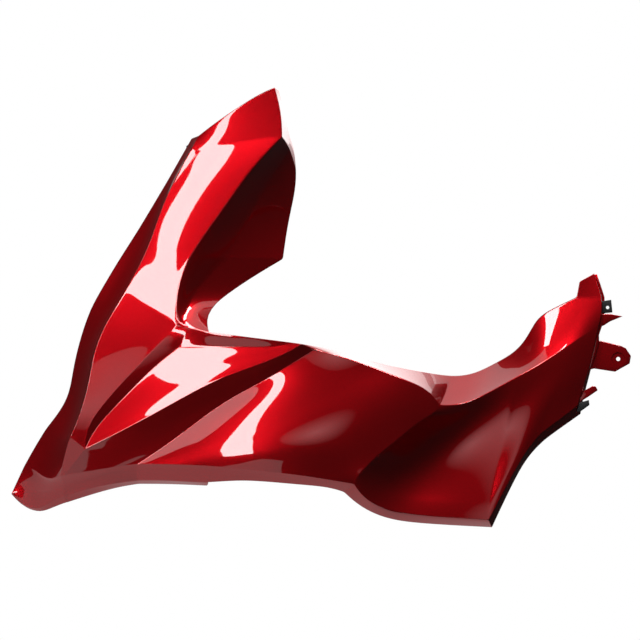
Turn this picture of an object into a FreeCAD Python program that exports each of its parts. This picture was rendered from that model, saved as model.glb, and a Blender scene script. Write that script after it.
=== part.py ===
# Scooter front panel, left-hand side: one thin injection-moulded and painted shell.
# The skin is a net of four-sided surfaces hung on the panel's character lines. It is thickened
# inwards to the wall, and the fixing tabs of the rear edge are fused to it.
# Frame: +X to the rear of the scooter, +Y from the outer face inwards, +Z up, millimetres.
# The origin is the centre of the rear screw hole, on the face that the screw head pulls on.
import FreeCAD, Part
import math
import os

Vector = FreeCAD.Vector
doc = FreeCAD.newDocument("scooter_front_panel")


# Driving sizes

sizes = doc.addObject("Spreadsheet::Sheet", "sizes")
driving_sizes = {
    "panel_length": 646,         # nose to the rear corner under the horn, along X
    "panel_depth": 158,          # belly to nose, along Y
    "wall": 2.5,
    "belly_crown": 11.9,         # how far the belly swells outwards between its lines
    "flank_hollow": 2,
    "saddle_hollow": 2,
    "valley_depth": 24,          # hollow of the tail beside the belly's tongue
    "facet_return": 12,          # depth of the fold behind the facet's upper edge
    "tab_thickness": 3,
    "tab_setback": 52,           # belly to the outer face of the rear tabs, along Y
    "screw_hole_diameter": 4.5,
    "seat_diameter": 15,
    "seat_recess": 1.2,
    "boss_diameter": 19,
    "boss_height": 3,            # how far the screw boss stands behind its bracket
    "clip_hole_diameter": 3.6,
    "peg_diameter": 4,
    "peg_length": 9,
}
for row, (alias, value) in enumerate(driving_sizes.items(), start=1):
    sizes.set(f"A{row}", alias)
    sizes.set(f"B{row}", str(value))
    sizes.setAlias(f"B{row}", alias)
doc.recompute()


# Character lines, traced on the photograph
# Each corner and station is pixels right, pixels down, and millimetres behind the belly's front.

corners = {
    "nose_top": (24, 466.5, 150), "nose_low": (14, 497, 158), "nose_hem": (15.5, 498.6, 160),
    "apex": (60.5, 475.5, 108), "heel": (64, 475, 106.5),
    "front_1": (45, 430.5, 138), "front_2": (50, 423.7, 134.5), "front_knee": (91, 309, 109),
    "front_3": (104, 285, 103),
    "front_4": (138, 230, 96), "front_5": (181.5, 156, 95.5), "front_top": (191.5, 138.5, 97),
    "crest_1": (70, 437, 87.5), "crest_2": (73, 431, 85), "crest_knee": (107, 322, 77.8),
    "crest_3": (124, 293, 74.4),
    "crest_4": (148, 246, 68), "crest_5": (189, 153, 74.5), "crest_top": (199, 135.5, 78.5),
    "tip": (274.5, 87.5, 59.5),
    "tip_mid": (279, 90.5, 71), "tip_back": (281.5, 95, 80),
    "facet_low": (85, 449, 86.9), "facet_rise": (85.3, 442, 85), "knee": (177, 325, 54.5),
    "knee_foot": (188, 327.5, 47.5), "notch": (209, 332, 38), "facet_end": (302, 344, 7.6),
    "side_top": (159, 344, 60), "cove_top": (178, 347, 57), "brow_end": (293, 342.7, 10.6),
    "cheek_mid": (189.8, 258, 48), "cheek_top": (282, 137, 46.2), "cheek_ledge": (290, 150, 82),
    "cheek_back": (296, 170, 104), "cheek_corner": (283, 259, 112),
    "groove_low": (138, 464, 85), "groove_1": (158, 450.7, 75.5), "groove_end": (313, 350.5, 15),
    "belly_low": (208, 466.2, 49.3), "belly_top": (375, 368, 5.3),
    "lobe": (354.5, 484, 12), "tongue_1": (362, 471.3, 6.3), "tongue": (439, 405, 14),
    "spine_1": (517, 377, 28), "spine_2": (577, 340, 38),
    "spine_end": (598.5, 326, 43.8), "flange_1": (370, 360.5, 33), "flange_2": (452, 375.6, 55),
    "flange_3": (512, 353, 62), "horn_low": (576.6, 297, 56), "horn_top": (579.5, 281.5, 57),
    "horn_tip": (594.3, 273.5, 56), "horn_back": (601, 297, 48),
    "rear_low": (577.7, 405, 48), "rear_1": (580.7, 393.5, 47.6),
    "rim_end": (488.7, 519.8, 34), "rim_1": (540, 434, 38.5),
    "apex_lip": (64, 496, 124), "heel_lip": (67.5, 495, 122.5), "groove_lip": (138, 480.3, 94),
    "belly_lip": (208, 482.3, 59), "lobe_lip": (344.5, 492.5, 24), "rim_end_lip": (492, 527.4, 47),
    "rim_1_lip": (545, 439.7, 51), "rear_low_lip": (580.5, 414, 62),
    "rear_1_lip": (583, 400.5, 60), "spine_end_lip": (600.8, 328, 55),
    "horn_back_lip": (603.8, 297, 60), "horn_lip": (596.8, 273.5, 68),
    "apex_hem": (65, 503, 130), "heel_hem": (68.5, 502, 128.5), "groove_hem": (138.8, 484, 101),
    "belly_hem": (207.5, 485.8, 66),
}
lines = {
    # blade
    "front": ["nose_top", (34, 448.5, 144), "front_1", "front_2", (67, 398.5, 127.5), (72, 376, 122),
              (80, 340, 115), "front_knee", "front_3", (119, 260, 98.5), "front_4", (156, 200, 95),
              (169, 178, 95), "front_5", "front_top"],
    "crest": ["apex", "crest_1", "crest_2", (77, 422, 82.3), (84, 401, 79.8), (89.5, 378, 79.2),
              (95, 350, 78.4), "crest_knee", "crest_3", "crest_4", (163, 205, 70), (175.5, 178, 72),
              "crest_5", "crest_top"],
    "front_end": ["front_top", "crest_top"],
    "blade_top": ["crest_top", (215, 123, 74), (240, 106, 67.5), (262, 92.5, 62.5), "tip"],
    "tip_edge": ["cheek_top", (280.5, 112, 53), "tip"],
    "tip_top": ["tip", "tip_mid", "tip_back"],
    "tip_rear": ["cheek_back", (294, 148, 96), (288, 122, 88), "tip_back"],
    "cheek_crest": ["knee", (176.5, 311, 53.2), (178, 293, 51.7), (182.5, 275, 49.5), "cheek_mid",
                    (204, 235.5, 46.5), (224.5, 207, 44.6), (251, 170, 44), "cheek_top"],
    "cheek_brow": ["cheek_top", "cheek_ledge", "cheek_back"],
    "cheek_low": ["notch", (206.5, 321, 51), (209, 311, 64), (221, 299, 82), (249, 279.5, 98),
                  "cheek_corner"],
    "cheek_edge": ["cheek_corner", (289, 220, 117), (295.5, 187, 112), "cheek_back"],
    # facet and groove
    "heel_rise": ["heel", "facet_low"],
    "facet_side": ["facet_low", "facet_rise", (87, 431, 82), (92, 419.5, 79), (107, 400, 74.5),
                   (124.5, 380, 70), "side_top", "knee"],
    "facet_cove": ["facet_low", (92.5, 433, 84.9), (108, 414, 80), (130, 391, 73), (161, 361, 62.6),
                   "cove_top", "knee_foot"],
    "facet_edge": ["facet_low", (122.5, 430.5, 69.4), (160.8, 410, 54.1), (222, 378, 32.3),
                   (268, 361, 17.3), (291, 350.5, 10.8), "facet_end"],
    "knee_rise": ["knee", "knee_foot", "notch"],
    "facet_brow": ["cove_top", (210, 347, 43.7), (250, 347.3, 26.8), (280, 346, 15.6), "brow_end"],
    "facet_top": ["notch", (250, 337.3, 21.8), "brow_end", "facet_end"],
    "groove": ["groove_low", "groove_1", (190, 427.5, 60), (222, 404, 48), (268, 378, 30),
               (298, 359.5, 19), "groove_end"],
    "groove_top": ["facet_end", "groove_end"],
    # belly and tail
    "belly_edge": ["groove_end", (335, 354.5, 8.7), "belly_top", (408.5, 381, 3.5), (424, 388.5, 7),
                   (434, 397.5, 10.5), "tongue"],
    "tongue_edge": ["lobe", (356.5, 478, 8.5), "tongue_1", (376, 457, 5), (397.6, 439.6, 6),
                    (421.5, 420.5, 10), (434.5, 412, 12), "tongue"],
    "spine": ["tongue", (460, 404.5, 22), (484, 395, 26), "spine_1", (545, 361.5, 32), "spine_2",
              "spine_end"],
    "flange_edge": ["facet_end", (316, 346, 23), (335, 350, 29), "flange_1", (421.5, 371.5, 45),
                    "flange_2", (473.5, 373, 62), (495, 363, 64.5), "flange_3", (528, 336, 61),
                    (535.5, 320, 61.5), (549.5, 310, 59.8), "horn_low"],
    "horn_foot": ["horn_low", "horn_back"],
    "horn_front": ["horn_low", "horn_top"],
    "horn_crown": ["horn_top", "horn_tip"],
    "seam_low": ["rear_low", "rear_1", (588.7, 369, 46), (595, 341, 44), "spine_end"],
    "seam_high": ["spine_end", (601.5, 311, 44), "horn_back"],
    "seam_horn": ["horn_back", "horn_tip"],
    # upper edge of the lip that runs round the foot of the panel
    "lip_nose": ["nose_top", (28.7, 465.8, 146), (36, 470.5, 139), (43.5, 478, 131), (52, 479.8, 120),
                 "apex"],
    "lip_apex": ["apex", "heel"],
    "lip_groove": ["heel", (92, 471, 99), (119.4, 466, 91), "groove_low"],
    "lip_belly": ["groove_low", (168.5, 464.2, 68), "belly_low", (240, 469, 35.1), (300, 475.3, 17.1),
                  "lobe"],
    "lip_lobe": ["lobe", (358, 491.5, 15), (366, 499.5, 20), (382.4, 508, 30), (410, 514, 36),
                 (450, 517.5, 37), "rim_end"],
    "rim": ["rim_end", (508, 483, 34), (521.3, 459, 35), "rim_1", (556, 422, 42), "rear_low"],
    # lower edge of the lip
    "low_nose": ["nose_low", (31, 510.5, 149), (40, 509.5, 143.5), (51, 500.8, 134), "apex_lip"],
    "low_apex": ["apex_lip", "heel_lip"],
    "low_groove": ["heel_lip", (90, 488, 110), (114.8, 483.2, 101), "groove_lip"],
    "low_belly": ["groove_lip", (165, 480.3, 80), "belly_lip", (240, 480.5, 44), (300, 484.7, 26.5),
                  (334, 488.5, 22), "lobe_lip"],
    "low_lobe": ["lobe_lip", (351, 499, 27), (361, 507, 32), (373, 513.5, 37), (390, 519.3, 43),
                 (420, 523.2, 48), (455, 525.5, 49), "rim_end_lip"],
    "low_rim": ["rim_end_lip", (501, 508, 47), (520, 469.7, 48), (530, 454.3, 49), "rim_1_lip",
                (560, 428.5, 55), "rear_low_lip"],
    "return_low": ["rear_low_lip", "rear_1_lip", (590.5, 371, 58), (597.3, 342, 56), "spine_end_lip"],
    "return_high": ["spine_end_lip", (603.7, 311, 56), "horn_back_lip"],
    "return_horn": ["horn_back_lip", "horn_lip"],
    # hem under the lip, from the nose to the middle of the belly
    "hem_nose": ["nose_hem", (31.5, 511.5, 151), (43, 512.4, 147.5), (53, 507.5, 140), "apex_hem"],
    "hem_apex": ["apex_hem", "heel_hem"],
    "hem_groove": ["heel_hem", (95.7, 493.4, 117), (119.6, 487, 108), "groove_hem"],
    "hem_belly": ["groove_hem", (168, 484.2, 87), "belly_hem"],
    # short lines across the lip and the hem
    "nose_cut": ["nose_low", (11.3, 494, 157), "nose_top"],
    "nose_fold": ["nose_hem", "nose_low"],
    "apex_rise": ["apex_lip", "apex"],
    "heel_lip_rise": ["heel_lip", "heel"],
    "groove_rise": ["groove_lip", "groove_low"],
    "lobe_rise": ["lobe_lip", "lobe"],
    "rim_end_rise": ["rim_end_lip", "rim_end"],
    "rear_low_rise": ["rear_low_lip", "rear_low"],
    "horn_rise": ["horn_lip", "horn_tip"],
    "apex_fold": ["apex_hem", "apex_lip"],
    "heel_fold": ["heel_hem", "heel_lip"],
    "groove_fold": ["groove_hem", "groove_lip"],
    "belly_fold": ["belly_hem", "belly_lip"],
}
# Each surface: its bottom, right, top and left chains of lines, seen from outside. A minus sign turns
# a line round, and a number after a colon takes one span of it. The last word names its swelling.
surfaces = {
    "flank": ("lip_nose", "crest", "front_end", "front", "flank_hollow"),
    "ridge": ("lip_apex", "heel_rise facet_side cheek_crest tip_edge", "blade_top", "crest", None),
    "cheek": ("knee_rise", "cheek_low cheek_edge", "cheek_brow", "cheek_crest", None),
    "cap": ("cheek_brow", "tip_rear", "tip_top", "tip_edge", None),
    "cove": ("-facet_side:0", "facet_cove", "knee_rise:0", "facet_side:1 facet_side:2", None),
    "facet": ("facet_edge", "-facet_top:1", "facet_brow", "facet_cove:0", None),
    "brow": ("facet_brow", "-facet_top:0", "knee_rise:1", "facet_cove:1", None),
    "trough": ("lip_groove", "groove", "groove_top", "heel_rise facet_edge", None),
    "belly": ("lip_belly", "tongue_edge", "belly_edge", "groove", "belly_crown"),
    "saddle": ("belly_edge spine", "seam_high", "flange_edge horn_foot", "-groove_top", "saddle_hollow"),
    "horn": ("horn_foot", "seam_horn", "horn_crown", "horn_front", None),
    "tail": ("lip_lobe rim", "seam_low", "spine", "tongue_edge", "valley_depth"),
    "nose_lip": ("low_nose", "apex_rise", "lip_nose", "nose_cut", None),
    "apex_lip": ("low_apex", "heel_lip_rise", "lip_apex", "apex_rise", None),
    "groove_lip": ("low_groove", "groove_rise", "lip_groove", "heel_lip_rise", None),
    "belly_lip": ("low_belly", "lobe_rise", "lip_belly", "groove_rise", None),
    "lobe_lip": ("low_lobe", "rim_end_rise", "lip_lobe", "lobe_rise", None),
    "rim_lip": ("low_rim", "rear_low_rise", "rim", "rim_end_rise", None),
    "rear_return": ("return_low return_high return_horn", "horn_rise", "seam_low seam_high seam_horn",
                    "rear_low_rise", None),
    "nose_hem": ("hem_nose", "apex_fold", "low_nose", "nose_fold", None),
    "apex_hem": ("hem_apex", "heel_fold", "low_apex", "apex_fold", None),
    "groove_hem": ("hem_groove", "groove_fold", "low_groove", "heel_fold", None),
    "belly_hem": ("hem_belly", "belly_fold", "low_belly:0", "groove_fold", None),
}
traced_length = corners["horn_back"][0] - corners["nose_low"][0]
length_scale = sizes.panel_length / traced_length
depth_scale = sizes.panel_depth / corners["nose_low"][2]
screw_spot = (618.2, 359)

# The fold behind the facet's upper edge keeps its own depth.
for name in ("notch", "brow_end", "facet_end"):
    right, down, depth = corners[name]
    corners[name + "_back"] = (right, down, depth + sizes.facet_return / depth_scale)
lines["notch_fold"] = ["notch", "notch_back"]
lines["facet_end_fold"] = ["facet_end", "facet_end_back"]
lines["facet_back"] = ["notch_back", "brow_end_back", "facet_end_back"]
surfaces["facet_return"] = ("facet_top", "facet_end_fold", "facet_back", "notch_fold", None)


def placed(station):
    """A corner's name or a traced station as a point of the model."""
    right, down, depth = corners[station] if isinstance(station, str) else station
    return Vector((right - screw_spot[0]) * length_scale,
                  depth * depth_scale - sizes.tab_setback,
                  (screw_spot[1] - down) * length_scale)


# Spans: the stretches of a line between its named corners

span_count = 4          # points that carry each span
knot_power = 0.6        # between even knots and knots by chord length, for calm curves


def line_spans(name):
    """The points of each span of a line, evenly spaced."""
    points = [placed(station) for station in lines[name]]
    knots = [0.0]
    for start, end in zip(points, points[1:]):
        knots.append(knots[-1] + (end - start).Length ** knot_power)
    curve = Part.BSplineCurve()
    curve.interpolate(Points=points, Parameters=knots)
    edge = curve.toShape()
    named = [k for k, station in enumerate(lines[name]) if isinstance(station, str)]
    spans = []
    for first, last in zip(named, named[1:]):
        spans.append(edge.discretize(Number=span_count, First=knots[first], Last=knots[last]))
        spans[-1][0] = points[first]
        spans[-1][-1] = points[last]
    return spans


def chain_spans(chain):
    """The spans of a chain in order, each as its line, its number and whether it is turned round."""
    found = []
    for word in chain.split():
        turned = word.startswith("-")
        name, _, number = word.lstrip("-").partition(":")
        numbers = range(sum(isinstance(station, str) for station in lines[name]) - 1)
        if number:
            numbers = [int(number)]
        spans = [((name, k), turned) for k in numbers]
        found += reversed(spans) if turned else spans
    return found


span_points = {name: line_spans(name) for name in lines}


# Surfaces: a net of points blended from the four chains, cut into blocks at the named corners

valley_place = 0.21     # where the valley is deepest, as a share of the tail's length


def chain_points(chain):
    """All points of a chain, and where its named corners fall among them."""
    points = []
    stops = [0]
    for (name, number), turned in chain_spans(chain):
        span = span_points[name][number]
        span = span[::-1] if turned else span
        points += span if not points else span[1:]
        stops.append(len(points) - 1)
    return points, stops


def shares(points):
    """How far along the chain each point lies, from 0 to 1."""
    run = [0.0]
    for start, end in zip(points, points[1:]):
        run.append(run[-1] + (end - start).Length)
    return [length / run[-1] for length in run]


def swell(swelling, s, t):
    """How far inwards a surface is pushed at share s from left to right and t from bottom to top."""
    if swelling is None:
        return 0
    amount = sizes.getPropertyByName(swelling)
    if swelling == "valley_depth":
        hollow = s / valley_place * ((1 - s) / (1 - valley_place)) ** (1 / valley_place - 1)
        return amount * hollow * 4 * t * (1 - t)
    middle = 16 * s * (1 - s) * t * (1 - t)
    return amount * middle if swelling.endswith("hollow") else -amount * middle


def surface_net(surface):
    """The rows of points of a surface, with the stops of its corners along and across."""
    bottom, right, top, left, swelling = surfaces[surface]
    (low, stops_along), (high, _) = chain_points(bottom), chain_points(top)
    (near, stops_across), (far, _) = chain_points(left), chain_points(right)
    along = [(a + b) / 2 for a, b in zip(shares(low), shares(high))]
    across = [(a + b) / 2 for a, b in zip(shares(near), shares(far))]
    rows = []
    for i, s in enumerate(along):
        row = []
        for j, t in enumerate(across):
            if i in (0, len(along) - 1):
                row.append(near[j] if i == 0 else far[j])
            elif j in (0, len(across) - 1):
                row.append(low[i] if j == 0 else high[i])
            else:
                point = low[i] * (1 - t) + high[i] * t + near[j] * (1 - s) + far[j] * s
                point -= (low[0] * (1 - s) + low[-1] * s) * (1 - t) + (high[0] * (1 - s) + high[-1] * s) * t
                row.append(point + Vector(0, swell(swelling, s, t), 0))
        rows.append(row)
    return rows, stops_along, stops_across


def blocks_of(surface):
    """The surface's net cut at its named corners."""
    rows, stops_along, stops_across = surface_net(surface)
    for i, i_end in zip(stops_along, stops_along[1:]):
        for j, j_end in zip(stops_across, stops_across[1:]):
            yield [row[j:j_end + 1] for row in rows[i:i_end + 1]]


def slope(points, k):
    """Direction of a row of points at its point k."""
    if len(points) == 2:
        return points[1] - points[0]
    if k == 0:
        return points[1] * 4 - points[0] * 3 - points[2]
    if k == len(points) - 1:
        return points[-1] * 3 - points[-2] * 4 + points[-3]
    return points[k + 1] - points[k - 1]


def spot(point):
    """A point rounded, so that points of neighbouring blocks can be matched."""
    return tuple(round(value, 4) for value in point)


# Thickness: each point moves inwards square to all the blocks that meet there, and points that lie
# close together, as across the lip, move the same way, so that the inner face doesn't fold

share_distance = 6      # millimetres over which the points share their way inwards
share_rounds = 12

blocks = [block for surface in surfaces for block in blocks_of(surface)]
normals = {}
neighbours = {}
for block in blocks:
    for i, row in enumerate(block):
        for j, point in enumerate(row):
            column = [other[j] for other in block]
            square = slope(column, i).cross(slope(row, j))
            normals.setdefault(spot(point), []).append(square.normalize())
            near = column[max(i - 1, 0):i + 2] + row[max(j - 1, 0):j + 2]
            neighbours.setdefault(spot(point), set()).update(spot(other) for other in near)
outward = {}
for point, found in normals.items():
    mean = sum(found, Vector()) * (1 / len(found))
    outward[point] = mean * (1 / mean.dot(mean))
for _ in range(share_rounds):
    shared = {}
    for point, near in neighbours.items():
        weights = {other: math.exp(-(math.dist(point, other) / share_distance) ** 2) for other in near}
        way = sum((outward[other] * weight for other, weight in weights.items()), Vector())
        shared[point] = way * (1 / sum(weights.values()))
    outward = shared


def inside(point):
    """The point of the inner face behind a point of the outer face."""
    return point - outward[spot(point)] * sizes.wall


def interpolated(points):
    """The spline through points at even parameters."""
    curve = Part.BSplineCurve()
    last = len(points) - 1
    curve.interpolate(Points=list(points), Parameters=[k / last for k in range(len(points))])
    return curve


def face_through(rows):
    """The spline face through a net of points. Its borders depend on the border points alone."""
    across = [interpolated(row) for row in rows]
    along = [interpolated(column) for column in zip(*[curve.getPoles() for curve in across])]
    surface = Part.BSplineSurface()
    surface.buildFromPolesMultsKnots(
        [curve.getPoles() for curve in along],
        across[0].getMultiplicities(), along[0].getMultiplicities(),
        across[0].getKnots(), along[0].getKnots(), False, False,
        across[0].Degree, along[0].Degree)
    return surface.toShape()


faces = []
borders = {}
for block in blocks:
    faces.append(face_through(block))
    faces.append(face_through([[inside(point) for point in row] for row in block]))
    first_column = [row[0] for row in block]
    last_column = [row[-1] for row in block]
    for border in (block[0], block[-1], first_column, last_column):
        middle = len(border) // 2
        name = frozenset(spot(border[k]) for k in (0, middle, -1 - middle, -1))
        borders.setdefault(name, []).append(border)
for found in borders.values():
    if len(found) == 1:
        faces.append(face_through([found[0], [inside(point) for point in found[0]]]))
shell = Part.makeShell(faces)
shell.sewShape()
skin = doc.addObject("Part::Feature", "skin")
skin.Shape = Part.makeSolid(shell)


# Rear tabs: flat plates that reach from behind the seam, for the screw, the clip and the next panel
# Their outlines and the spots of the clip's hole and the peg are pixels right and down too.

tab_outlines = {
    "screw_bracket": [(594.6, 340.8), (600, 340.6), (620.8, 345.7), (625.9, 348.2), (631, 355.9),
                      (629.7, 363.5), (615, 371.8), (594, 368.6), (587.4, 370.5)],
    "clip_tab": [(600.5, 301.5), (611.2, 299.7), (612.5, 312.5), (600.5, 313.6)],
    "spike_tab": [(600.3, 314.2), (610, 313.8), (622.7, 316.3), (610, 321.5), (604.2, 325.3),
                  (597.5, 328)],
    "finger_tab": [(580.6, 392.8), (592.7, 385.8), (595.9, 386.5), (597.8, 390.3), (587.6, 397.3),
                   (579.8, 402)],
    "foot_tab": [(578, 403), (588.9, 399.9), (589.5, 405), (581, 411.2), (577, 411.5)],
}
clip_spot = (607.6, 307.5)
peg_spot = (188, 147)
peg_depth = 94          # millimetres behind the belly's front, where the peg leaves the blade's front edge


def tab(name, outline):
    """A padded plate with a traced outline, its outer face seat_recess in front of the screw seat."""
    body = doc.addObject("PartDesign::Body", name)
    sketch = body.newObject("Sketcher::SketchObject", name + "_outline")
    plane = [feature for feature in body.Origin.OriginFeatures if feature.Role == "XZ_Plane"][0]
    sketch.AttachmentSupport = [(plane, "")]
    sketch.MapMode = "FlatFace"
    points = [Vector((right - screw_spot[0]) * length_scale, (screw_spot[1] - down) * length_scale, 0)
              for right, down in outline]
    for start, end in zip(points, points[1:] + points[:1]):
        sketch.addGeometry(Part.LineSegment(start, end))
    pad = body.newObject("PartDesign::Pad", name + "_pad")
    pad.Profile = sketch
    pad.Reversed = True
    pad.setExpression("Length", "sizes.tab_thickness")
    body.setExpression("Placement.Base.y", "-sizes.seat_recess")
    return body


def round_bar(name, diameter, start, length):
    """A cylinder along +Y on the screw's axis, all its sizes from the sheet."""
    bar = doc.addObject("Part::Cylinder", name)
    bar.setExpression("Radius", f"sizes.{diameter} / 2")
    bar.setExpression("Height", length)
    bar.Placement = FreeCAD.Placement(Vector(), FreeCAD.Rotation(Vector(1, 0, 0), -90))
    bar.setExpression("Placement.Base.y", start)
    return bar


def move_to(bar, traced_spot):
    """Shifts a bar from the screw's axis to a traced spot."""
    right, down = traced_spot
    bar.Placement.Base.x = (right - screw_spot[0]) * length_scale
    bar.Placement.Base.z = (screw_spot[1] - down) * length_scale


tabs = [tab(name, outline) for name, outline in tab_outlines.items()]
boss = round_bar("screw_boss", "boss_diameter", "0",
                 "sizes.tab_thickness - sizes.seat_recess + sizes.boss_height")
peg = round_bar("front_peg", "peg_diameter", f"{peg_depth * depth_scale} - sizes.tab_setback",
                "sizes.peg_length")
move_to(peg, peg_spot)
screw_hole = round_bar("screw_hole", "screw_hole_diameter", "-sizes.tab_thickness",
                       "3 * sizes.tab_thickness + sizes.boss_height")
seat = round_bar("screw_seat", "seat_diameter", "-2 * sizes.seat_recess", "2 * sizes.seat_recess")
clip_hole = round_bar("clip_hole", "clip_hole_diameter", "-sizes.tab_thickness",
                      "3 * sizes.tab_thickness")
move_to(clip_hole, clip_spot)

moulding = doc.addObject("Part::MultiFuse", "moulding")
moulding.Shapes = [skin, *tabs, boss, peg]
cuts = doc.addObject("Part::MultiFuse", "cuts")
cuts.Shapes = [screw_hole, seat, clip_hole]
front_panel = doc.addObject("Part::Cut", "front_panel")
front_panel.Base = moulding
front_panel.Tool = cuts
front_panel.Label = "front_panel"
doc.recompute()


# Checks, then one STEP file for the node

for item in doc.Objects:
    if "Invalid" in item.State or "Error" in item.State:
        raise RuntimeError(f"{item.Label} failed to build: {item.State}")
for item in (skin, moulding, front_panel):
    if item.Shape.isNull() or not item.Shape.isValid():
        raise RuntimeError(f"{item.Label} has no valid shape")
if len(front_panel.Shape.Solids) != 1:
    raise RuntimeError(f"front_panel has {len(front_panel.Shape.Solids)} solids")
os.makedirs("parts", exist_ok=True)
front_panel.Shape.exportStep("parts/front_panel.step")
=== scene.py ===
# Looks of the scooter front panel: one moulded and painted shell with its fixing tabs, in a plain
# studio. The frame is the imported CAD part: +X to the rear, +Y inwards, +Z up, in metres.
import math

import bpy
import numpy as np
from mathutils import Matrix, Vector


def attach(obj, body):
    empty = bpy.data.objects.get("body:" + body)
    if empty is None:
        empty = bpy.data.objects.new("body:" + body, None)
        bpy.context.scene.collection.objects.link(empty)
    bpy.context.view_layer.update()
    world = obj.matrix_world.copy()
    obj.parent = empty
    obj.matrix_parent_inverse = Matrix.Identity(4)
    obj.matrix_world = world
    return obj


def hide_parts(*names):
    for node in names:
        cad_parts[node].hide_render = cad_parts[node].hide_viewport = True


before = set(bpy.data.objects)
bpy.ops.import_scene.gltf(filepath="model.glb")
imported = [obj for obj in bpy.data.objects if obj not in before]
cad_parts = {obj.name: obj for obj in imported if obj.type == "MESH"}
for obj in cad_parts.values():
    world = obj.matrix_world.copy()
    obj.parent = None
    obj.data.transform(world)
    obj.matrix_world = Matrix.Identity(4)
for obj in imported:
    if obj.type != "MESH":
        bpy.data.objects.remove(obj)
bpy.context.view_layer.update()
bpy.ops.object.select_all(action="DESELECT")


# Candy paint: a red translucent lacquer over a silver flake base, under clear coat, sprayed on the
# whole outer face. The flakes give the red its soft glow and the clear coat its sharp reflections.

def linear(hex_colour):
    """An sRGB hex colour as linear red, green, blue and alpha."""
    parts = [int(hex_colour[k:k + 2], 16) / 255 for k in (1, 3, 5)]
    return [c / 12.92 if c <= 0.04045 else ((c + 0.055) / 1.055) ** 2.4 for c in parts] + [1.0]


def new_material(name, **shader_settings):
    """A material with its shader's own sockets set, and its node tree."""
    material = bpy.data.materials.new(name)
    material.use_nodes = True
    shader = material.node_tree.nodes["Principled BSDF"]
    for socket, value in shader_settings.items():
        shader.inputs[socket.replace("_", " ")].default_value = value
    return material, material.node_tree, shader


def add_node(tree, kind, settings=None, links=None, **values):
    """One node: its settings, the values of its inputs, and what is linked to them."""
    node = tree.nodes.new(kind)
    for name, value in (settings or {}).items():
        setattr(node, name, value)
    for socket, value in values.items():
        node.inputs[socket.replace("_", " ")].default_value = value
    for socket, source in (links or {}).items():
        tree.links.new(source, node.inputs[socket])
    return node


# The flakes are drawn far coarser than real ones, so that they show.
flake_size = 0.0006
paint, paint_tree, paint_shader = new_material(
    "candy_red_paint", Metallic=0.72, Roughness=0.31, Specular_IOR_Level=0.0, Coat_Weight=1.0,
    Coat_Roughness=0.02, Coat_IOR=1.5)
paint_place = add_node(paint_tree, "ShaderNodeTexCoord")
flakes = add_node(paint_tree, "ShaderNodeTexNoise", Scale=1 / flake_size, Detail=1.0,
                  links={"Vector": paint_place.outputs["Object"]})
flake_red = add_node(paint_tree, "ShaderNodeMix", {"data_type": "RGBA"},
                     {"Factor": flakes.outputs["Fac"]})
flake_red.inputs["A"].default_value = linear("#6e0308")
flake_red.inputs["B"].default_value = linear("#92050c")
paint_tree.links.new(flake_red.outputs["Result"], paint_shader.inputs["Base Color"])


# Bare back: the inner face, boss and peg of the same moulding, black ABS that is left unpainted. Two
# rear tabs get the same black as painted shade. The spark-eroded mould gives it a fine grain, which
# makes it dull to the eye.

# The grain is drawn coarser than the real one, so that it shows.
grain_size = 0.0012
grain_height = 0.0001
back, back_tree, back_shader = new_material("bare_plastic_and_painted_shade", Roughness=0.55, Specular_IOR_Level=0.3)
back_place = add_node(back_tree, "ShaderNodeTexCoord")
grain = add_node(back_tree, "ShaderNodeTexNoise", Scale=1 / grain_size, Detail=2.0,
                 links={"Vector": back_place.outputs["Object"]})
back_grey = add_node(back_tree, "ShaderNodeMix", {"data_type": "RGBA"},
                     {"Factor": grain.outputs["Fac"]})
back_grey.inputs["A"].default_value = linear("#0a0a0b")
back_grey.inputs["B"].default_value = linear("#101012")
back_tree.links.new(back_grey.outputs["Result"], back_shader.inputs["Base Color"])
grain_bump = add_node(back_tree, "ShaderNodeBump", Strength=0.25, Distance=grain_height,
                      links={"Height": grain.outputs["Fac"]})
back_tree.links.new(grain_bump.outputs["Normal"], back_shader.inputs["Normal"])


# Shell: the injection moulding itself, 2.5 mm thick, painted outside and bare inside. It hangs on the
# panel's character lines. A cage of four-sided surfaces between them is creased where they meet,
# thickened inwards and subdivided.

skin_length = 0.646
skin_pixels = 587
pixel = skin_length / skin_pixels
# The frame's origin is the screw's seat. It lies at this pixel, and this far behind the belly's front.
screw_right, screw_down = 618.2, 359
tab_setback = 0.052
wall = 0.0025
# A spline spaces its stations by this power of their distance, and has this many points between two.
spline_power = 0.6
spline_points = 41
# The cage has a point about every step, and one row more beside each line to keep its edge tight.
cage_step = 0.022
edge_row = 0.0035
edge_row_share = 0.4
edge_crease = 0.5
rim_crease = 0.6
merge_digits = 6
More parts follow.
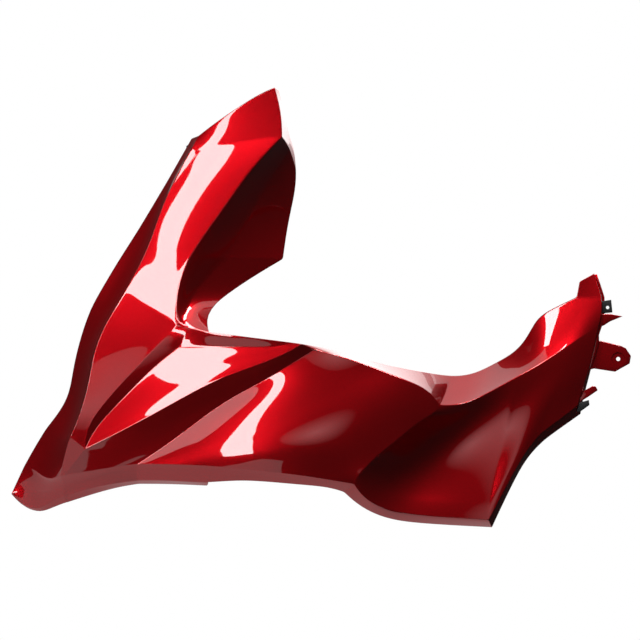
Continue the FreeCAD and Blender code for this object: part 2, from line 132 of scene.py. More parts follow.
# A station is pixels right and down in the photo, and millimetres behind the belly's front. All are the
# CAD part's own, but for those of the fine crease along the nose, which run on into the lip.
corners = {
    "nose_top": (24, 466.5, 150), "nose_tip": (11.3, 494, 157), "nose_low": (14, 497, 158),
    "nose_hem": (15.5, 498.6, 160), "apex": (60.5, 475.5, 108), "heel": (64, 475, 106.5),
    "front_1": (45, 430.5, 138), "front_2": (50, 423.7, 134.5), "front_knee": (91, 309, 109),
    "front_3": (104, 285, 103),
    "front_4": (138, 230, 96), "front_5": (181.5, 156, 95.5), "front_top": (191.5, 138.5, 97),
    "crest_1": (70, 437, 87.5), "crest_2": (73, 431, 85), "crest_knee": (107, 322, 77.8),
    "crest_3": (124, 293, 74.4),
    "crest_4": (148, 246, 68), "crest_5": (189, 153, 74.5), "crest_top": (199, 135.5, 78.5),
    "tip": (274.5, 87.5, 59.5), "tip_mid": (279, 90.5, 71), "tip_back": (281.5, 95, 80),
    "facet_low": (85, 449, 86.9), "facet_rise": (85.3, 442, 85), "knee": (177, 325, 54.5),
    "knee_foot": (188, 327.5, 47.5), "notch": (209, 332, 38), "facet_end": (302, 344, 7.6),
    "side_top": (159, 344, 60), "cove_top": (178, 347, 57), "brow_end": (293, 342.7, 10.6),
    "notch_back": (209, 332, 50), "brow_end_back": (293, 342.7, 22.6), "facet_end_back": (302, 344, 19.6),
    "cheek_mid": (189.8, 258, 48), "cheek_top": (282, 137, 46.2), "cheek_ledge": (290, 150, 82),
    "cheek_back": (296, 170, 104), "cheek_corner": (283, 259, 112),
    "groove_low": (138, 464, 85), "groove_1": (158, 450.7, 75.5), "groove_end": (313, 350.5, 15),
    "belly_low": (208, 466.2, 49.3), "belly_top": (375, 368, 5.3),
    "lobe": (354.5, 484, 12), "tongue_1": (362, 471.3, 6.3), "tongue": (439, 405, 14),
    "spine_1": (517, 377, 28), "spine_2": (577, 340, 38), "spine_end": (598.5, 326, 43.8),
    "flange_1": (370, 360.5, 33), "flange_2": (452, 375.6, 55), "flange_3": (512, 353, 62),
    "horn_low": (576.6, 297, 56), "horn_top": (579.5, 281.5, 57), "horn_tip": (594.3, 273.5, 56),
    "horn_back": (601, 297, 48), "rear_low": (577.7, 405, 48), "rear_1": (580.7, 393.5, 47.6),
    "rim_end": (488.7, 519.8, 34), "rim_1": (540, 434, 38.5),
    "apex_belt": (64, 486, 118), "heel_belt": (67, 485, 116.5), "groove_belt": (138, 467.5, 87.5),
    "lobe_belt": (352.5, 486, 14.5), "rim_end_belt": (489.5, 522, 37),
    "rear_low_belt": (578.5, 407.5, 51.5), "horn_belt": (595, 273.5, 59),
    "apex_lip": (64, 496, 124), "heel_lip": (67.5, 495, 122.5), "groove_lip": (138, 480.3, 94),
    "belly_lip": (208, 482.3, 59), "lobe_lip": (344.5, 492.5, 24), "rim_end_lip": (492, 527.4, 47),
    "rim_1_lip": (545, 439.7, 51), "rear_low_lip": (580.5, 414, 62), "rear_1_lip": (583, 400.5, 60),
    "spine_end_lip": (600.8, 328, 55), "horn_back_lip": (603.8, 297, 60), "horn_lip": (596.8, 273.5, 68),
    "apex_hem": (65, 503, 130), "heel_hem": (68.5, 502, 128.5), "groove_hem": (138.8, 484, 101),
    "belly_hem": (207.5, 485.8, 66),
}
lines = {
    # blade
    "front": ["nose_top", (34, 448.5, 144), "front_1", "front_2", (67, 398.5, 127.5), (72, 376, 122),
              (80, 340, 115), "front_knee", "front_3", (119, 260, 98.5), "front_4", (156, 200, 95),
              (169, 178, 95), "front_5", "front_top"],
    "crest": ["apex", "crest_1", "crest_2", (77, 422, 82.3), (84, 401, 79.8), (89.5, 378, 79.2),
              (95, 350, 78.4), "crest_knee", "crest_3", "crest_4", (163, 205, 70),
              (175.5, 178, 72), "crest_5", "crest_top"],
    "front_end": ["front_top", "crest_top"],
    "blade_top": ["crest_top", (215, 123, 74), (240, 106, 67.5), (262, 92.5, 62.5), "tip"],
    "tip_edge": ["cheek_top", (280.5, 112, 53), "tip"],
    "tip_top": ["tip", "tip_mid", "tip_back"],
    "tip_rear": ["cheek_back", (294, 148, 96), (288, 122, 88), "tip_back"],
    "cheek_crest": ["knee", (176.5, 311, 53.2), (178, 293, 51.7), (182.5, 275, 49.5), "cheek_mid",
                    (204, 235.5, 46.5), (224.5, 207, 44.6), (251, 170, 44), "cheek_top"],
    "cheek_brow": ["cheek_top", "cheek_ledge", "cheek_back"],
    "cheek_low": ["notch", (206.5, 321, 51), (209, 311, 64), (221, 299, 82), (249, 279.5, 98),
                  "cheek_corner"],
    "cheek_edge": ["cheek_corner", (289, 220, 117), (295.5, 187, 112), "cheek_back"],
    # facet and groove
    "heel_rise": ["heel", "facet_low"],
    "facet_side": ["facet_low", "facet_rise", (87, 431, 82), (92, 419.5, 79), (107, 400, 74.5),
                   (124.5, 380, 70), "side_top", "knee"],
    "facet_cove": ["facet_low", (92.5, 433, 84.9), (108, 414, 80), (130, 391, 73),
                   (161, 361, 62.6), "cove_top", "knee_foot"],
    "facet_edge": ["facet_low", (122.5, 430.5, 69.4), (160.8, 410, 54.1), (222, 378, 32.3),
                   (268, 361, 17.3), (291, 350.5, 10.8), "facet_end"],
    "knee_rise": ["knee", "knee_foot", "notch"],
    "facet_brow": ["cove_top", (210, 347, 43.7), (250, 347.3, 26.8), (280, 346, 15.6), "brow_end"],
    "facet_top": ["notch", (250, 337.3, 21.8), "brow_end", "facet_end"],
    "facet_back": ["notch_back", "brow_end_back", "facet_end_back"],
    "notch_fold": ["notch", "notch_back"],
    "facet_end_fold": ["facet_end", "facet_end_back"],
    "groove": ["groove_low", "groove_1", (190, 427.5, 60), (222, 404, 48), (268, 378, 30),
               (298, 359.5, 19), "groove_end"],
    "groove_top": ["facet_end", "groove_end"],
    # belly and tail
    "belly_edge": ["groove_end", (335, 354.5, 8.7), "belly_top", (408.5, 381, 3.5), (424, 388.5, 7),
                   (434, 397.5, 10.5), "tongue"],
    "tongue_edge": ["lobe", (356.5, 478, 8.5), "tongue_1", (376, 457, 5), (397.6, 439.6, 6),
                    (421.5, 420.5, 10), (434.5, 412, 12), "tongue"],
    "spine": ["tongue", (460, 404.5, 22), (484, 395, 26), "spine_1", (545, 361.5, 32), "spine_2",
              "spine_end"],
    "flange_edge": ["facet_end", (316, 346, 23), (335, 350, 29), "flange_1", (421.5, 371.5, 45),
                    "flange_2", (473.5, 373, 62), (495, 363, 64.5), "flange_3", (528, 336, 61),
                    (535.5, 320, 61.5), (549.5, 310, 59.8), "horn_low"],
    "horn_foot": ["horn_low", "horn_back"],
    "horn_front": ["horn_low", "horn_top"],
    "horn_crown": ["horn_top", "horn_tip"],
    "seam_low": ["rear_low", "rear_1", (588.7, 369, 46), (595, 341, 44), "spine_end"],
    "seam_high": ["spine_end", (601.5, 311, 44), "horn_back"],
    "seam_horn": ["horn_back", "horn_tip"],
    # upper edge of the lip that runs round the foot of the panel
    "lip_nose": ["nose_top", (28.7, 465.8, 146), (36, 470.5, 139), (43.5, 478, 131), (52, 479.8, 120),
                 "apex"],
    "lip_apex": ["apex", "heel"],
    "lip_groove": ["heel", (92, 471, 99), (119.4, 466, 91), "groove_low"],
    "lip_belly": ["groove_low", (168.5, 464.2, 68), "belly_low", (240, 469, 35.1), (300, 475.3, 17.1),
                  "lobe"],
    "lip_lobe": ["lobe", (358, 491.5, 15), (366, 499.5, 20), (382.4, 508, 30), (410, 514, 36),
                 (450, 517.5, 37), "rim_end"],
    "rim": ["rim_end", (508, 483, 34), (521.3, 459, 35), "rim_1", (556, 422, 42), "rear_low"],
    # fine crease along the nose
    "belt_nose": ["nose_tip", (28.7, 488, 149), (43, 493.5, 138), (53, 490.5, 127), "apex_belt"],
    # lower edge of the lip
    "low_nose": ["nose_low", (31, 510.5, 149), (40, 509.5, 143.5), (51, 500.8, 134), "apex_lip"],
    "low_apex": ["apex_lip", "heel_lip"],
    "low_groove": ["heel_lip", (90, 488, 110), (114.8, 483.2, 101), "groove_lip"],
    "low_belly": ["groove_lip", (165, 480.3, 80), "belly_lip", (240, 480.5, 44), (300, 484.7, 26.5),
                  (334, 488.5, 22), "lobe_lip"],
    "low_lobe": ["lobe_lip", (351, 499, 27), (361, 507, 32), (373, 513.5, 37), (390, 519.3, 43),
                 (420, 523.2, 48), (455, 525.5, 49), "rim_end_lip"],
    "low_rim": ["rim_end_lip", (501, 508, 47), (520, 469.7, 48), (530, 454.3, 49), "rim_1_lip",
                (560, 428.5, 55), "rear_low_lip"],
    "return_low": ["rear_low_lip", "rear_1_lip", (590.5, 371, 58), (597.3, 342, 56), "spine_end_lip"],
    "return_high": ["spine_end_lip", (603.7, 311, 56), "horn_back_lip"],
    "return_horn": ["horn_back_lip", "horn_lip"],
    # hem under the lip, from the nose to the middle of the belly
    "hem_nose": ["nose_hem", (31.5, 511.5, 151), (43, 512.4, 147.5), (53, 507.5, 140), "apex_hem"],
    "hem_apex": ["apex_hem", "heel_hem"],
    "hem_groove": ["heel_hem", (95.7, 493.4, 117), (119.6, 487, 108), "groove_hem"],
    "hem_belly": ["groove_hem", (168, 484.2, 87), "belly_hem"],
    # short lines across the lip and the hem
    "nose_cut": ["nose_tip", "nose_top"],
    "nose_chin": ["nose_low", "nose_tip"],
    "nose_fold": ["nose_hem", "nose_low"],
    "apex_rise": ["apex_lip", "apex_belt", "apex"],
    "heel_lip_rise": ["heel_lip", "heel_belt", "heel"],
    "groove_rise": ["groove_lip", "groove_belt", "groove_low"],
    "lobe_rise": ["lobe_lip", "lobe_belt", "lobe"],
    "rim_end_rise": ["rim_end_lip", "rim_end_belt", "rim_end"],
    "rear_low_rise": ["rear_low_lip", "rear_low_belt", "rear_low"],
    "horn_rise": ["horn_lip", "horn_belt", "horn_tip"],
    "apex_fold": ["apex_hem", "apex_lip"],
    "heel_fold": ["heel_hem", "heel_lip"],
    "groove_fold": ["groove_hem", "groove_lip"],
    "belly_fold": ["belly_hem", "belly_lip"],
}
# Each surface: its bottom, right, top and left chains of lines seen from outside, the height of its
# swelling in millimetres, and the sheet it belongs to. There is no crease inside a sheet.
surfaces = {
    "flank": ("lip_nose", "crest", "front_end", "front", -2, "flank"),
    "ridge": ("lip_apex", "heel_rise facet_side cheek_crest tip_edge", "blade_top", "crest", 0, "ridge"),
    "cheek": ("knee_rise", "cheek_low cheek_edge", "cheek_brow", "cheek_crest", 0, "cheek"),
    "cap": ("cheek_brow", "tip_rear", "tip_top", "tip_edge", 0, "cap"),
    "cove": ("-facet_side:0", "facet_cove", "knee_rise:0", "facet_side:1 facet_side:2", 0, "cove"),
    "facet": ("facet_edge", "-facet_top:1", "facet_brow", "facet_cove:0", 0, "facet"),
    "brow": ("facet_brow", "-facet_top:0", "knee_rise:1", "facet_cove:1", 0, "cove"),
    "facet_return": ("facet_top", "facet_end_fold", "facet_back", "notch_fold", 0, "facet_return"),
    "trough": ("lip_groove", "groove", "groove_top", "heel_rise facet_edge", 0, "trough"),
    "belly": ("lip_belly", "tongue_edge", "belly_edge", "groove", 11.9, "belly"),
    "saddle": ("belly_edge spine", "seam_high", "flange_edge horn_foot", "-groove_top", -2, "saddle"),
    "horn": ("horn_foot", "seam_horn", "horn_crown", "horn_front", 0, "saddle"),
    "tail": ("lip_lobe rim", "seam_low", "spine", "tongue_edge", 0, "tail"),
    "nose_lip": ("belt_nose", "apex_rise:1", "lip_nose", "nose_cut", 0, "nose_lip"),
    "nose_chin": ("low_nose", "apex_rise:0", "belt_nose", "nose_chin", 0, "nose_chin"),
    "apex_lip": ("low_apex", "heel_lip_rise", "lip_apex", "apex_rise", 0, "lip"),
    "groove_lip": ("low_groove", "groove_rise", "lip_groove", "heel_lip_rise", 0, "lip"),
    "belly_lip": ("low_belly", "lobe_rise", "lip_belly", "groove_rise", 0, "lip"),
    "lobe_lip": ("low_lobe", "rim_end_rise", "lip_lobe", "lobe_rise", 0, "lip"),
    "rim_lip": ("low_rim", "rear_low_rise", "rim", "rim_end_rise", 0, "rim_lip"),
    "rear_return": ("return_low return_high return_horn", "horn_rise", "seam_low seam_high seam_horn",
                    "rear_low_rise", 0, "rear_return"),
    "nose_hem": ("hem_nose", "apex_fold", "low_nose", "nose_fold", 0, "hem"),
    "apex_hem": ("hem_apex", "heel_fold", "low_apex", "apex_fold", 0, "hem"),
    "groove_hem": ("hem_groove", "groove_fold", "low_groove", "heel_fold", 0, "hem"),
    "belly_hem": ("hem_belly", "belly_fold", "low_belly:0", "groove_fold", 0, "hem"),
}
# The tail's valley: its depth in millimetres, and the share of the way from the tongue to the rear seam
# where it is deepest.
valley_depth = 24
valley_place = 0.21
# The belly is evened out as by a thin plate, which bridges dents up to about this length.
fair_length = 0.02


def photo_point(right, down, y):
    """The point of the part at a pixel of the photo and a given Y, in metres."""
    return (right - screw_right) * pixel, y, (screw_down - down) * pixel


def placed(station):
    """A corner's name or a traced station as a point of the part, in metres."""
    right, down, depth = corners[station] if isinstance(station, str) else station
    return np.array(photo_point(right, down, depth / 1000 - tab_setback))


def fine_spans(name):
    """A natural spline through a line's stations, as many close points for each named span."""
    points = np.array([placed(station) for station in lines[name]])
    last = len(points) - 1
    gaps = np.linalg.norm(np.diff(points, axis=0), axis=1) ** spline_power
    system = np.eye(last + 1)
    pull = np.zeros((last + 1, 3))
    for k in range(1, last):
        system[k, k - 1:k + 2] = gaps[k - 1], 2 * (gaps[k - 1] + gaps[k]), gaps[k]
        pull[k] = 6 * ((points[k + 1] - points[k]) / gaps[k] - (points[k] - points[k - 1]) / gaps[k - 1])
    bend = np.linalg.solve(system, pull)
    b = np.linspace(0, 1, spline_points)[:, None]
    a = 1 - b
    spans = []
    for k in range(last):
        stretch = a * points[k] + b * points[k + 1]
        stretch += gaps[k] ** 2 / 6 * ((a ** 3 - a) * bend[k] + (b ** 3 - b) * bend[k + 1])
        if isinstance(lines[name][k], str):
            spans.append(stretch)
        else:
            spans[-1] = np.concatenate([spans[-1], stretch[1:]])
    return spans


def run_of(points):
    """The length along a row of points, up to each of them."""
    return np.concatenate([[0], np.cumsum(np.linalg.norm(np.diff(points, axis=0), axis=1))])


def chain_spans(chain):
    """The spans of a chain in order, each as its line, its number and whether it is turned round."""
    found = []
    for word in chain.split():
        name, _, number = word.lstrip("-").partition(":")
        numbers = [int(number)] if number else range(len(fine[name]))
        spans = [((name, k), word.startswith("-")) for k in numbers]
        found += spans[::-1] if word.startswith("-") else spans
    return found


# Spans that face each other across a surface get the same number of cage points.
fine = {name: fine_spans(name) for name in lines}
counts = {(name, k): 2 + int(run_of(span)[-1] / cage_step) for name in lines
          for k, span in enumerate(fine[name])}
settled = False
while not settled:
    settled = True
    for bottom, right, top, left, _, _ in surfaces.values():
        for side, facing in ((bottom, top), (left, right)):
            for (one, _), (other, _) in zip(chain_spans(side), chain_spans(facing)):
                if counts[one] != counts[other]:
                    counts[one] = counts[other] = max(counts[one], counts[other])
                    settled = False


def chain_points(chain):
    """The cage points along a chain: even on each of its spans, with one more close to each end."""
    rows = []
    for (name, number), turned in chain_spans(chain):
        span = fine[name][number]
        run = run_of(span)
        at = np.linspace(0, run[-1], counts[name, number])
        close = min(edge_row, edge_row_share * at[1])
        at = np.concatenate([[0, close], at[1:-1], [run[-1] - close, run[-1]]])
        points = np.stack([np.interp(at, run, span[:, axis]) for axis in range(3)], axis=1)
        points = points[::-1] if turned else points
        rows.append(points[1:] if rows else points)
    return np.concatenate(rows)


def faired_depth(net):
    """The depth of a net's points once a thin plate lies on them: its border is held, the rest springs."""
    points = net.reshape(-1, 3)
    numbers = np.arange(len(points)).reshape(net.shape[:2])
    system = np.eye(len(points))
    for strip in list(numbers) + list(numbers.T):
        gaps = np.linalg.norm(np.diff(points[strip], axis=0), axis=1)
        for k in range(1, len(strip) - 1):
            before, after = gaps[k - 1], gaps[k]
            bend = np.array([1 / before, -1 / before - 1 / after, 1 / after]) * 2 / (before + after)
            bend *= fair_length ** 2
            trio = strip[k - 1:k + 2]
            system[np.ix_(trio, trio)] += np.outer(bend, bend)
    border = np.ones(net.shape[:2], dtype=bool)
    border[1:-1, 1:-1] = False
    system[border.ravel()] = np.eye(len(points))[border.ravel()]
    return np.linalg.solve(system, points[:, 1]).reshape(net.shape[:2])


def surface_net(name):
    """The net of cage points of a surface, blended from its four chains."""
    bottom, right, top, left, swelling, _ = surfaces[name]
    low, far, high, near = (chain_points(chain) for chain in (bottom, right, top, left))
    s = (run_of(low) / run_of(low)[-1] + run_of(high) / run_of(high)[-1])[:, None, None] / 2
    t = (run_of(near) / run_of(near)[-1] + run_of(far) / run_of(far)[-1])[None, :, None] / 2
    net = (1 - t) * low[:, None] + t * high[:, None] + (1 - s) * near[None] + s * far[None]
    net -= (1 - t) * ((1 - s) * low[0] + s * low[-1]) + t * ((1 - s) * high[0] + s * high[-1])
    net[..., 1] -= swelling / 1000 * (16 * s * (1 - s) * t * (1 - t))[..., 0]
    if name == "tail":
        hollow = s / valley_place * ((1 - s) / (1 - valley_place)) ** (1 / valley_place - 1)
        net[..., 1] += valley_depth / 1000 * (hollow * 4 * t * (1 - t))[..., 0]
    if name == "belly":
        net[..., 1] = faired_depth(net)
    return net


# The nets are joined to one cage: points that agree to a micrometre are one point.
cage_points = []
cage_faces = []
face_sheets = []
point_numbers = {}
for name in surfaces:
    numbers = []
    for row in surface_net(name):
        numbers.append([])
        for point in row:
            spot = tuple(np.round(point, merge_digits))
            if spot not in point_numbers:
                point_numbers[spot] = len(cage_points)
                cage_points.append(point)
            numbers[-1].append(point_numbers[spot])
    for row, following in zip(numbers, numbers[1:]):
        for j in range(len(row) - 1):
            cage_faces.append((row[j], following[j], following[j + 1], row[j + 1]))
            face_sheets.append(surfaces[name][5])
sheets_at = {}
for face, sheet in zip(cage_faces, face_sheets):
    for start, end in zip(face, face[1:] + face[:1]):
        sheets_at.setdefault(frozenset((start, end)), set()).add(sheet)


def shell_cage(name, material):
    """The creased cage as a new object, active and alone selected."""
    mesh = bpy.data.meshes.new(name)
    mesh.from_pydata(cage_points, [], cage_faces)
    creases = mesh.attributes.new("crease_edge", "FLOAT", "EDGE")
    for edge in mesh.edges:
        if len(sheets_at[frozenset(edge.vertices)]) > 1:
            creases.data[edge.index].value = edge_crease
    mesh.materials.append(material)
    cage = bpy.data.objects.new(name, mesh)
    bpy.context.collection.objects.link(cage)
    bpy.ops.object.select_all(action="DESELECT")
    bpy.context.view_layer.objects.active = cage
    cage.select_set(True)
    thicken = cage.modifiers.new("wall", "SOLIDIFY")
    thicken.thickness = wall
    thicken.offset = -1
    thicken.edge_crease_outer = rim_crease
    thicken.edge_crease_inner = rim_crease
    return cage, thicken


def rounded(cage, levels):
    """Subdivides a cage, smooths it and makes it a piece of the panel."""
    rounding = cage.modifiers.new("rounding", "SUBSURF")
    rounding.levels = rounding.render_levels = levels
    rounding.boundary_smooth = "PRESERVE_CORNERS"
    bpy.ops.object.modifier_apply(modifier="rounding")
    bpy.ops.object.shade_smooth()
    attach(cage, "root")
    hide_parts("front_panel")


# The painted skin is the wall's outer face with its rim. The bare back is the inner face alone: the outer
# one is told apart by its material and deleted.
painted_skin, skin_wall = shell_cage("painted_skin", paint)
skin_wall.use_rim_only = True
bpy.ops.object.modifier_apply(modifier="wall")
rounded(painted_skin, 2)

bare_back, back_wall = shell_cage("bare_back", paint)
bare_back.data.materials.append(back)
back_wall.material_offset = 1
back_wall.use_rim = False
bpy.ops.object.modifier_apply(modifier="wall")
bpy.ops.object.mode_set(mode="EDIT")
bare_back.active_material_index = 0
bpy.ops.mesh.select_all(action="DESELECT")
bpy.ops.object.material_slot_select()
bpy.ops.mesh.delete(type="FACE")
bpy.ops.object.mode_set(mode="OBJECT")
bpy.ops.object.material_slot_remove()
rounded(bare_back, 1)


# Rear flange: a narrow strip moulded on behind the skin's rear edge, a step lower than the skin. The
# rear tabs grow out of it, and the next panel laps over it. It carries the skin's paint.

flange_bevel = 0.0005
smooth_angle = math.radians(35)
# Each row: pixels right of the inner and the outer edge, pixels down, millimetres behind the belly's front.
flange_rows = [
    (578.3, 580.5, 403, 51), (581.5, 583.8, 391, 50.6), (585.2, 586.6, 380, 50), (588.7, 590.6, 369, 49),
    (592, 595.5, 355, 48), (595, 599.2, 341, 48), (596.5, 599, 335, 48.3), (598.5, 602, 326, 49.2),
    (601.4, 604.8, 312, 51.4), (601, 604.6, 297, 54.2), (597.8, 600.8, 285, 56.6), (594.3, 597, 274, 59),
]
bpy.ops.object.select_all(action="DESELECT")
bpy.ops.mesh.primitive_grid_add(x_subdivisions=1, y_subdivisions=len(flange_rows) - 1)
flange = bpy.context.object
flange.name = "rear_flange"
for row, (inner, outer, down, depth) in enumerate(flange_rows):
    for side, right in enumerate((inner, outer)):
        flange.data.vertices[2 * row + side].co = placed((right, down, depth))
flange_wall = flange.modifiers.new("wall", "SOLIDIFY")
flange_wall.thickness = wall
flange_wall.offset = -1
bpy.ops.object.modifier_apply(modifier="wall")
flange_edges = flange.modifiers.new("edges", "BEVEL")
flange_edges.width = flange_bevel
flange_edges.segments = 2
bpy.ops.object.modifier_apply(modifier="edges")
bpy.ops.object.shade_smooth_by_angle(angle=smooth_angle)
flange.data.materials.append(paint)
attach(flange, "root")
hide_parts("front_panel")


# Rear tabs: five flat plates moulded on behind the rear edge, which the screw, a clip and the next panel
# hold. Three carry the skin's paint, and the other two get the black plastic as painted shade. The
# screw's plate has a round seat, a hole and a boss behind, and the clip's plate has a hole.

tab_thickness = 0.003
tab_bevel = 0.0006
seat_recess = 0.0012
seat_radius = 0.0075
screw_hole_radius = 0.00225
clip_hole_radius = 0.0018
boss_radius = 0.0095
boss_start, boss_end = 0.001, 0.0048
drill_start, drill_end = -0.004, 0.008
tab_outlines = {
    "screw_bracket": [(594.6, 340.8), (600, 340.6), (620.8, 345.7), (625.9, 348.2), (631, 355.9),
                      (629.7, 363.5), (615, 371.8), (594, 368.6), (587.4, 370.5)],
    "clip_tab": [(600.5, 301.5), (611.2, 299.7), (612.5, 312.5), (600.5, 313.6)],
    "spike_tab": [(600.3, 314.2), (610, 313.8), (622.7, 316.3), (610, 321.5), (604.2, 325.3),
                  (597.5, 328)],
    "finger_tab": [(580.6, 392.8), (592.7, 385.8), (595.9, 386.5), (597.8, 390.3), (587.6, 397.3),
                   (579.8, 402)],
    "foot_tab": [(578, 403), (588.9, 399.9), (589.5, 405), (581, 411.2), (577, 411.5)],
}
# The clip and foot tabs get the black plastic as painted shade.
shade_black_tabs = ("clip_tab", "foot_tab")
clip_right, clip_down = 607.6, 307.5


def drilled(piece, radius, start, end, right=screw_right, down=screw_down):
    """Cuts a round hole along Y, from start to end, out of a piece."""
    bpy.ops.object.select_all(action="DESELECT")
    bpy.ops.mesh.primitive_cylinder_add(
        vertices=48, radius=radius, depth=end - start, rotation=(math.radians(90), 0, 0),
        location=photo_point(right, down, (start + end) / 2))
    drill = bpy.context.object
    cut = piece.modifiers.new("hole", "BOOLEAN")
    cut.object = drill
    bpy.context.view_layer.objects.active = piece
    bpy.ops.object.modifier_apply(modifier="hole")
    bpy.data.objects.remove(drill)


tabs = {}
for name, outline in tab_outlines.items():
    bpy.ops.object.select_all(action="DESELECT")
    bpy.ops.mesh.primitive_circle_add(vertices=len(outline), fill_type="NGON")
    tab = bpy.context.object
    tab.name = name
    for vertex, (right, down) in zip(tab.data.vertices, outline):
        vertex.co = photo_point(right, down, -seat_recess)
    bpy.ops.object.mode_set(mode="EDIT")
    bpy.ops.mesh.select_all(action="SELECT")
    bpy.ops.mesh.extrude_region_move(TRANSFORM_OT_translate={"value": (0, tab_thickness, 0)})
    bpy.ops.mesh.select_all(action="SELECT")
    bpy.ops.mesh.normals_make_consistent(inside=False)
    bpy.ops.mesh.bevel(offset=tab_bevel, segments=3, affect="EDGES")
    bpy.ops.object.mode_set(mode="OBJECT")
    # Painted shade: the two shade tabs take the black plastic, the rest the paint.
    tab.data.materials.append(back if name in shade_black_tabs else paint)
    tabs[name] = tab
drilled(tabs["screw_bracket"], seat_radius, drill_start, 0)
drilled(tabs["screw_bracket"], screw_hole_radius, drill_start, drill_end)
drilled(tabs["clip_tab"], clip_hole_radius, drill_start, drill_end, clip_right, clip_down)
bpy.ops.object.select_all(action="DESELECT")
bpy.ops.mesh.primitive_cylinder_add(
    vertices=64, radius=boss_radius, depth=boss_end - boss_start, rotation=(math.radians(90), 0, 0),
    location=(0, (boss_start + boss_end) / 2, 0))
boss = bpy.context.object
boss.name = "screw_boss"
bpy.ops.object.transform_apply(location=True, rotation=True, scale=True)
boss.data.materials.append(back)
drilled(boss, screw_hole_radius, drill_start, drill_end)
tabs["screw_boss"] = boss
for tab in tabs.values():
    bpy.ops.object.select_all(action="DESELECT")
    bpy.context.view_layer.objects.active = tab
    tab.select_set(True)
    bpy.ops.object.shade_smooth_by_angle(angle=smooth_angle)
    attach(tab, "root")
    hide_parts("front_panel")


# Front peg: a small round pin of the bare moulding behind the blade's front edge, which finds its place
# in a hole of the nose cover.

peg_radius = 0.002
peg_length = 0.009
peg_bevel = 0.0004
peg_right, peg_down = 188, 147
peg_middle = 0.0465
bpy.ops.object.select_all(action="DESELECT")
bpy.ops.mesh.primitive_cylinder_add(
    vertices=32, radius=peg_radius, depth=peg_length, rotation=(math.radians(90), 0, 0),
    location=photo_point(peg_right, peg_down, peg_middle))
peg = bpy.context.object
peg.name = "front_peg"
bpy.ops.object.transform_apply(location=True, rotation=True, scale=True)
bpy.ops.object.mode_set(mode="EDIT")
bpy.ops.mesh.select_all(action="SELECT")
bpy.ops.mesh.bevel(offset=peg_bevel, segments=2, affect="EDGES")
bpy.ops.object.mode_set(mode="OBJECT")
bpy.ops.object.shade_smooth_by_angle(angle=smooth_angle)
peg.data.materials.append(back)
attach(peg, "root")
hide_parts("front_panel")


# Studio: a plain pale floor and backdrop of paper, far enough from the hanging panel to be plain
# white to the camera. Soft boxes stand to its left and above, a wide umbrella far in front, and the
# rest of the room is dark, so that the lacquer mirrors black on its right.

floor_height = -1.1
# The floor's front edge is cut so that the lacquer mirrors paper where the photo is pale, and the dark
# room where it is dark.
floor_outline = [(-9, -6.2), (-1.75, -0.75), (-1.5, -1.25), (-1.1, -1.1), (-0.93, -0.62), (0.3, 0.3),
                 (0.3, 3), (-9, 3)]
backdrop_side = 2.0
backdrop_place = (0.1, 1.3, 1.0)
room_dark = 0.03
umbrella_width = 1.5
umbrella_spread = math.radians(40)
bpy.ops.object.select_all(action="DESELECT")
pale, pale_tree, pale_shader = new_material("pale_paper", Base_Color=linear("#e6e6e6"), Roughness=0.9)
# The paper is plain white to the camera and in reflections, and shaded paper to all other rays.
ray = add_node(pale_tree, "ShaderNodeLightPath")
white = add_node(pale_tree, "ShaderNodeEmission", Strength=1.0)
mirrored = add_node(pale_tree, "ShaderNodeMath", {"operation": "MAXIMUM"},
                    {0: ray.outputs["Is Glossy Ray"], 1: ray.outputs["Is Transmission Ray"]})
direct = add_node(pale_tree, "ShaderNodeMath", {"operation": "MAXIMUM"},
                  {0: ray.outputs["Is Camera Ray"], 1: mirrored.outputs[0]})
seen = add_node(pale_tree, "ShaderNodeMixShader",
                links={0: direct.outputs[0], 1: pale_shader.outputs[0], 2: white.outputs[0]})
pale_tree.links.new(seen.outputs[0], pale_tree.nodes["Material Output"].inputs["Surface"])
bpy.ops.mesh.primitive_circle_add(vertices=len(floor_outline), fill_type="NGON")
floor = bpy.context.object
floor.name = "studio_floor"
for vertex, (x, y) in zip(floor.data.vertices, floor_outline):
    vertex.co = (x, y, floor_height)
floor.data.materials.append(pale)
bpy.ops.mesh.primitive_plane_add(size=backdrop_side, location=backdrop_place,
                                 rotation=(math.radians(90), 0, 0))
backdrop = bpy.context.object
backdrop.name = "studio_backdrop"
bpy.ops.object.transform_apply(location=True, rotation=True, scale=True)
backdrop.data.materials.append(pale)

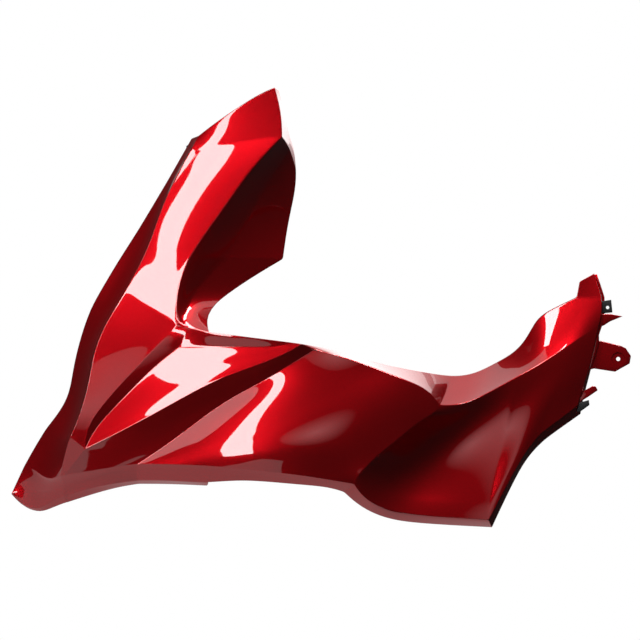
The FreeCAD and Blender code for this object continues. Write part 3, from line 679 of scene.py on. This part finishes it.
# The room is white to the camera and dark to all other rays.
world = bpy.data.worlds.new("studio")
bpy.context.scene.world = world
world.use_nodes = True
sky = world.node_tree.nodes["Background"]
sky_ray = add_node(world.node_tree, "ShaderNodeLightPath")
shown = add_node(world.node_tree, "ShaderNodeMix", {"data_type": "RGBA"},
                 {"Factor": sky_ray.outputs["Is Camera Ray"]})
shown.inputs["A"].default_value = (room_dark, room_dark, room_dark, 1)
shown.inputs["B"].default_value = (1, 1, 1, 1)
world.node_tree.links.new(shown.outputs["Result"], sky.inputs["Color"])


def soft_box(name, place, way, width, height, watts):
    """A flat studio lamp of a size, at a place, shining a way."""
    lamp = bpy.data.lights.new(name, "AREA")
    lamp.shape = "RECTANGLE"
    lamp.size = width
    lamp.size_y = height
    lamp.energy = watts
    holder = bpy.data.objects.new(name, lamp)
    bpy.context.collection.objects.link(holder)
    holder.location = place
    holder.visible_camera = False
    holder.rotation_euler = Vector(way).to_track_quat("-Z", "Y").to_euler()
    return holder


soft_box("tall_strip", place=(-1.52, -1.05, 0.45), way=(0.75, 0.67, 0), width=0.18, height=2.3, watts=23)
soft_box("high_box", place=(-1.13, -0.86, 1.36), way=(0.56, 0.45, -0.7), width=0.25, height=0.35, watts=6)
soft_box("front_top", place=(-0.1, -1.3, 1.9), way=(-0.1, 0.6, -0.8), width=1.2, height=0.6, watts=85)
soft_box("left_card", place=(-1.69, -0.57, 0.51), way=(0.85, 0.37, -0.37), width=0.36, height=0.75,
         watts=2.2)
soft_box("back_box", place=(0.2, 1.25, 0.75), way=(0, -1, 0), width=1.6, height=1.0, watts=7)
soft_box("ceiling", place=(-0.1, 0.2, 1.6), way=(0, 0, -1), width=2.0, height=2.0, watts=20)
umbrella = soft_box("umbrella", place=(-0.95, -2.07, -0.19), way=(0.34, 0.94, 0.05), width=umbrella_width,
                    height=umbrella_width, watts=0.34)
umbrella.data.shape = "DISK"
umbrella.data.spread = umbrella_spread


# Camera: square on to the panel and without perspective, as the photo was read. It frames the photo's
# own square.

photo_side = 640
camera_distance = 3
camera = bpy.data.objects.new("camera", bpy.data.cameras.new("camera"))
bpy.context.collection.objects.link(camera)
camera.data.type = "ORTHO"
camera.data.ortho_scale = photo_side * pixel
camera.location = photo_point(photo_side / 2, photo_side / 2, -camera_distance)
camera.rotation_euler = (math.radians(90), 0, 0)
bpy.context.scene.camera = camera
bpy.context.scene.view_settings.view_transform = "Standard"
